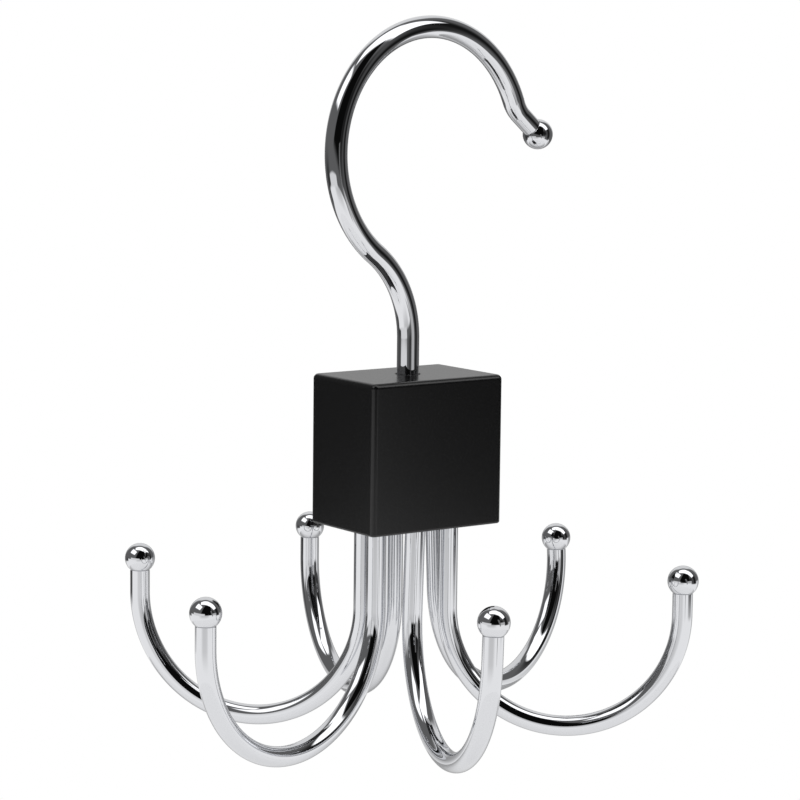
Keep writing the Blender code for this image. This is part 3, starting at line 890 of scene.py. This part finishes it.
# %% [markdown]
# ## The block
#
# The casting starts as a box. Its upper and upright edges get a full round and the underside a
# smaller one, as a mould leaves them. The stepped bore and the six sockets are then cut out, each
# with a small countersink, so that the paint does not chip at the mouth.

# %% Block
EDGE_RADIUS = 1.3 * MM
FOOT_RADIUS = 0.6 * MM
EDGE_STEPS = 8
ENTRY_RADIUS = ROD_RADIUS + 0.4 * MM
ENTRY_DEPTH = 4.0 * MM
BUSH_HOLE_RADIUS = 4.6 * MM
FLANGE_THICKNESS = 1.2 * MM
COUNTERBORE_RADIUS = 6.6 * MM
PLUG_HEAD = 1.5 * MM
PLUG_LEDGE = 0.6 * MM
PLUG_GAP = 0.1 * MM
COUNTERSINK = 0.2 * MM
PAST_FACE = 2.0 * MM  # how far a cutter runs out of the block
BORE_SIDES = 96
SOCKET_SIDES = 48
MERGE_DISTANCE = 0.001 * MM


def turned_solid(profile, sides=BORE_SIDES):
    """A solid turned round the upright axis from its profile of radii and heights."""
    shape = bmesh.new()
    verts = [shape.verts.new((radius, 0.0, height)) for radius, height in profile]
    edges = [shape.edges.new(pair) for pair in zip(verts, verts[1:])]
    bmesh.ops.spin(
        shape,
        geom=[*verts, *edges],
        axis=UP,
        cent=(0, 0, 0),
        angle=turn(360),
        steps=sides,
        use_merge=True,
    )
    bmesh.ops.remove_doubles(shape, verts=shape.verts, dist=MERGE_DISTANCE)
    bmesh.ops.recalc_face_normals(shape, faces=shape.faces)
    return shape


def cut(shape, cutters):
    """Cut other shapes out of one and return what is left."""
    body = loose_object("uncut", shape)
    tools = [loose_object("cutter", cutter) for cutter in cutters]
    for tool in tools:
        body.modifiers.new("cut", "BOOLEAN").object = tool
    left = bmesh.new()
    left.from_object(body, bpy.context.evaluated_depsgraph_get())
    for made in (body, *tools):
        bpy.data.objects.remove(made)
    return left


def shade_evenly(piece):
    """Let the flat faces lead the shading of the rounds beside them."""
    even = piece.modifiers.new("even_shading", "WEIGHTED_NORMAL")
    even.keep_sharp = True


plug_low, plug_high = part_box("bottom_plug")
pocket_radius = plug_high.x + PLUG_GAP
ledge = block_low.z + PLUG_HEAD
flange_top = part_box("swivel_bush")[0].z + FLANGE_THICKNESS
entry_bottom = block_high.z - ENTRY_DEPTH
bore = turned_solid(
    [
        (0.0, block_high.z + PAST_FACE),
        (ENTRY_RADIUS + COUNTERSINK, block_high.z + PAST_FACE),
        (ENTRY_RADIUS + COUNTERSINK, block_high.z),
        (ENTRY_RADIUS, block_high.z - COUNTERSINK),
        (ENTRY_RADIUS, entry_bottom),
        (BUSH_HOLE_RADIUS, entry_bottom),
        (BUSH_HOLE_RADIUS, flange_top),
        (COUNTERBORE_RADIUS, flange_top),
        (COUNTERBORE_RADIUS, ledge),
        (pocket_radius, ledge),
        (pocket_radius, block_low.z + COUNTERSINK),
        (pocket_radius + COUNTERSINK, block_low.z),
        (pocket_radius + COUNTERSINK, block_low.z - PAST_FACE),
        (0.0, block_low.z - PAST_FACE),
    ]
)
cutters = [bore]
socket_radius = WIRE_RADIUS - SOCKET_SHOULDER + JOINT_GAP
for socket in sockets.values():
    hole = turned_solid(
        [
            (0.0, SOCKET_SPIGOT + JOINT_GAP),
            (socket_radius, SOCKET_SPIGOT + JOINT_GAP),
            (socket_radius, COUNTERSINK),
            (socket_radius + COUNTERSINK, 0.0),
            (socket_radius + COUNTERSINK, -PAST_FACE),
            (0.0, -PAST_FACE),
        ],
        sides=SOCKET_SIDES,
    )
    bmesh.ops.translate(hole, verts=hole.verts, vec=socket)
    cutters.append(hole)

shape = bmesh.new()
bmesh.ops.create_cube(shape, size=1.0)
bmesh.ops.scale(shape, verts=shape.verts, vec=block_high - block_low)
middle = (block_low + block_high) / 2
bmesh.ops.translate(shape, verts=shape.verts, vec=middle)
upper = [edge for edge in shape.edges if max(vert.co.z for vert in edge.verts) > middle.z]
round_edges(shape, upper, EDGE_RADIUS, EDGE_STEPS)
underside = min(shape.faces, key=lambda face: face.calc_center_median().z)
round_edges(shape, list(underside.edges), FOOT_RADIUS, EDGE_STEPS // 2)
shape = cut(shape, cutters)
block = finish_piece("cast_block", shape, enamel, "carrier", "black_paint", "block")
shade_evenly(block)

# %% [markdown]
# The plug is a turned profile that closes the bore from below. Its head seats on a ledge in the
# block, and its spigot stands in the counterbore. Its lower rim is broken like the pocket's.

# %% Plug
shape = turned_solid(
    [
        (0.0, plug_high.z),
        (plug_high.x - PLUG_LEDGE, plug_high.z),
        (plug_high.x - PLUG_LEDGE, ledge),
        (plug_high.x, ledge),
        (plug_high.x, plug_low.z + COUNTERSINK),
        (plug_high.x - COUNTERSINK, plug_low.z),
        (0.0, plug_low.z),
    ]
)
plug = finish_piece("moulded_plug", shape, moulded, "carrier", "black_plastic", "bottom_plug")
shade_evenly(plug)

# %% [markdown]
# ## Finishes for the parts that stay as they are
#
# The bush, the washer and the nut are right as the CAD has them, so they only get their finish.

# %% Carried-over parts
for node, material in (("swivel_bush", nylon), ("nut_washer", zinc), ("swivel_nut", zinc)):
    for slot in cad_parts[node].material_slots:
        slot.material = material
    print(node, "is now", material.name)

# %% [markdown]
# ## Settings and sizes
#
# The colours are shown as they are, so the view transform is Standard. The visual model's box is
# set against the CAD's, and the difference is printed.

# %% View and sizes
bpy.context.scene.view_settings.view_transform = "Standard"
visual_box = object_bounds()
for low_or_high in (0, 1):
    change = (visual_box[low_or_high] - cad_box[low_or_high]) / MM
    print("visual box against the CAD's in mm:", [round(value, 3) for value in change])
